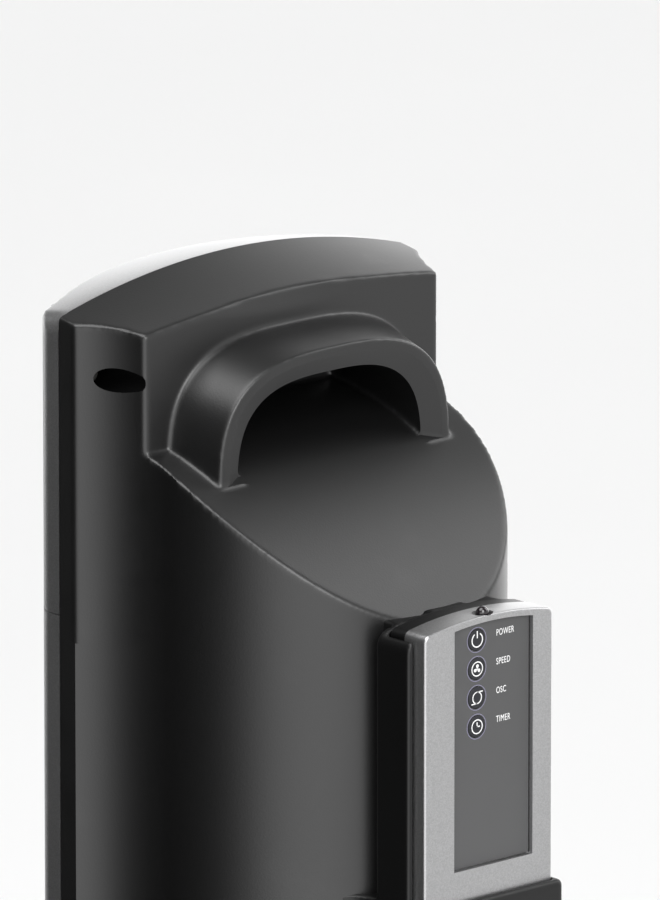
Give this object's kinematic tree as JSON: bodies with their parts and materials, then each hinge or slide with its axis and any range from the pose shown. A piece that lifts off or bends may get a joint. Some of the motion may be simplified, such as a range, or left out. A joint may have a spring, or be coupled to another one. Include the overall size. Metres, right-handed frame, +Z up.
{
  "type": "tower fan",
  "caption": "Tower fan on a round swivelling base, with a moulded rear carry handle, a control head and a remote control held in a pod on its back.",
  "frame": {"origin": "on the floor under the swivel axis, at the centre of the round base", "axes": "+Z up the tower; +Y out of the back, where the handle and the remote are; -Y out of the front grille; +X to the right seen from the front"},
  "size_m": [0.33, 0.33, 1.08],
  "materials": {
    "black_plastic": "fine-grained satin moulding",
    "dark_plastic": "satin moulding",
    "silver_paint": "metallic silver paint on plastic, satin",
    "steel": "plain steel",
    "bronze": "sintered bush",
    "battery_case": "plain sleeve",
    "rubber": "matte",
    "white_nylon": "moulded nylon",
    "circuit_board": "laminate",
    "smoked_window": "smoked gloss",
    "label_panel": "printed film, satin",
    "key_caps": "soft rubber"
  },
  "bodies": {
    "base": {"base_cover": "black_plastic", "base_plate": "dark_plastic", "ballast_weight": "steel", "foot_1": "rubber", "foot_2": "rubber", "foot_3": "rubber", "foot_4": "rubber", "cord_gland": "rubber", "slide_ring": "white_nylon", "swivel_motor": "steel"},
    "crank": {"swivel_crank": "white_nylon"},
    "tower": {"turntable": "black_plastic", "swivel_yoke": "dark_plastic", "tower_floor": "dark_plastic", "motor_bulkhead": "dark_plastic", "fan_motor": "steel", "motor_capacitor": "dark_plastic", "bearing_spider": "dark_plastic", "bearing_bush": "bronze", "scroll_duct": "dark_plastic", "cutoff_tongue": "dark_plastic", "rear_shell": "black_plastic", "rear_grille": "black_plastic", "front_head": "silver_paint", "front_frame": "silver_paint", "front_grille": "dark_plastic", "display_lens": "smoked_window", "control_board": "circuit_board", "ir_receiver": "smoked_window", "shell_screw_top_right": "steel", "shell_screw_bottom_right": "steel", "shell_screw_top_left": "steel", "shell_screw_bottom_left": "steel", "remote_pod": "black_plastic"},
    "wheel": {"motor_shaft": "steel", "blower_wheel": "dark_plastic"},
    "remote": {"remote_front": "silver_paint", "remote_back": "black_plastic", "remote_label": "label_panel", "remote_battery_cover": "black_plastic", "remote_board": "circuit_board", "remote_battery_1": "battery_case", "remote_battery_2": "battery_case", "remote_ir_lens": "smoked_window"},
    "remote_key_power": {"remote_button_power": "key_caps"},
    "remote_key_speed": {"remote_button_speed": "key_caps"},
    "remote_key_osc": {"remote_button_osc": "key_caps"},
    "remote_key_timer": {"remote_button_timer": "key_caps"},
    "head_key_power": {"head_button_power": "key_caps"},
    "head_key_speed": {"head_button_speed": "key_caps"},
    "head_key_swivel": {"head_button_swivel": "key_caps"},
    "head_key_timer": {"head_button_timer": "key_caps"},
    "head_key_mode": {"head_button_mode": "key_caps"}
  },
  "joints": [
    {"name": "swivel", "type": "hinge", "parent": "base", "child": "tower", "pos_m": [0, 0, 0.045], "axis": [0, 0, 1], "range_deg": [-35, 35]},
    {"name": "crank_turn", "type": "hinge", "parent": "base", "child": "crank", "pos_m": [0, -0.028, 0.027], "axis": [0, 0, 1], "range_deg": [-90, 90]},
    {"name": "wheel_spin", "type": "hinge", "parent": "tower", "child": "wheel", "pos_m": [0, 0, 0.15], "axis": [0, 0, 1], "continuous": true},
    {"name": "remote_lift", "type": "slide", "parent": "tower", "child": "remote", "axis": [0, 0, 1], "range_m": [0, 0.13]},
    {"name": "press_remote_power", "type": "slide", "parent": "remote", "child": "remote_key_power", "axis": [0, -1, 0], "range_m": [0, 0.001], "stiffness_N_per_m": 400},
    {"name": "press_remote_speed", "type": "slide", "parent": "remote", "child": "remote_key_speed", "axis": [0, -1, 0], "range_m": [0, 0.001], "stiffness_N_per_m": 400},
    {"name": "press_remote_osc", "type": "slide", "parent": "remote", "child": "remote_key_osc", "axis": [0, -1, 0], "range_m": [0, 0.001], "stiffness_N_per_m": 400},
    {"name": "press_remote_timer", "type": "slide", "parent": "remote", "child": "remote_key_timer", "axis": [0, -1, 0], "range_m": [0, 0.001], "stiffness_N_per_m": 400},
    {"name": "press_head_power", "type": "slide", "parent": "tower", "child": "head_key_power", "axis": [0, 1, 0], "range_m": [0, 0.0015], "stiffness_N_per_m": 400},
    {"name": "press_head_speed", "type": "slide", "parent": "tower", "child": "head_key_speed", "axis": [0, 1, 0], "range_m": [0, 0.0015], "stiffness_N_per_m": 400},
    {"name": "press_head_swivel", "type": "slide", "parent": "tower", "child": "head_key_swivel", "axis": [0, 1, 0], "range_m": [0, 0.0015], "stiffness_N_per_m": 400},
    {"name": "press_head_timer", "type": "slide", "parent": "tower", "child": "head_key_timer", "axis": [0, 1, 0], "range_m": [0, 0.0015], "stiffness_N_per_m": 400},
    {"name": "press_head_mode", "type": "slide", "parent": "tower", "child": "head_key_mode", "axis": [0, 1, 0], "range_m": [0, 0.0015], "stiffness_N_per_m": 400}
  ],
  "couplings": [
    {"joint": "crank_turn", "follows": "swivel", "ratio": 2.5314}
  ]
}
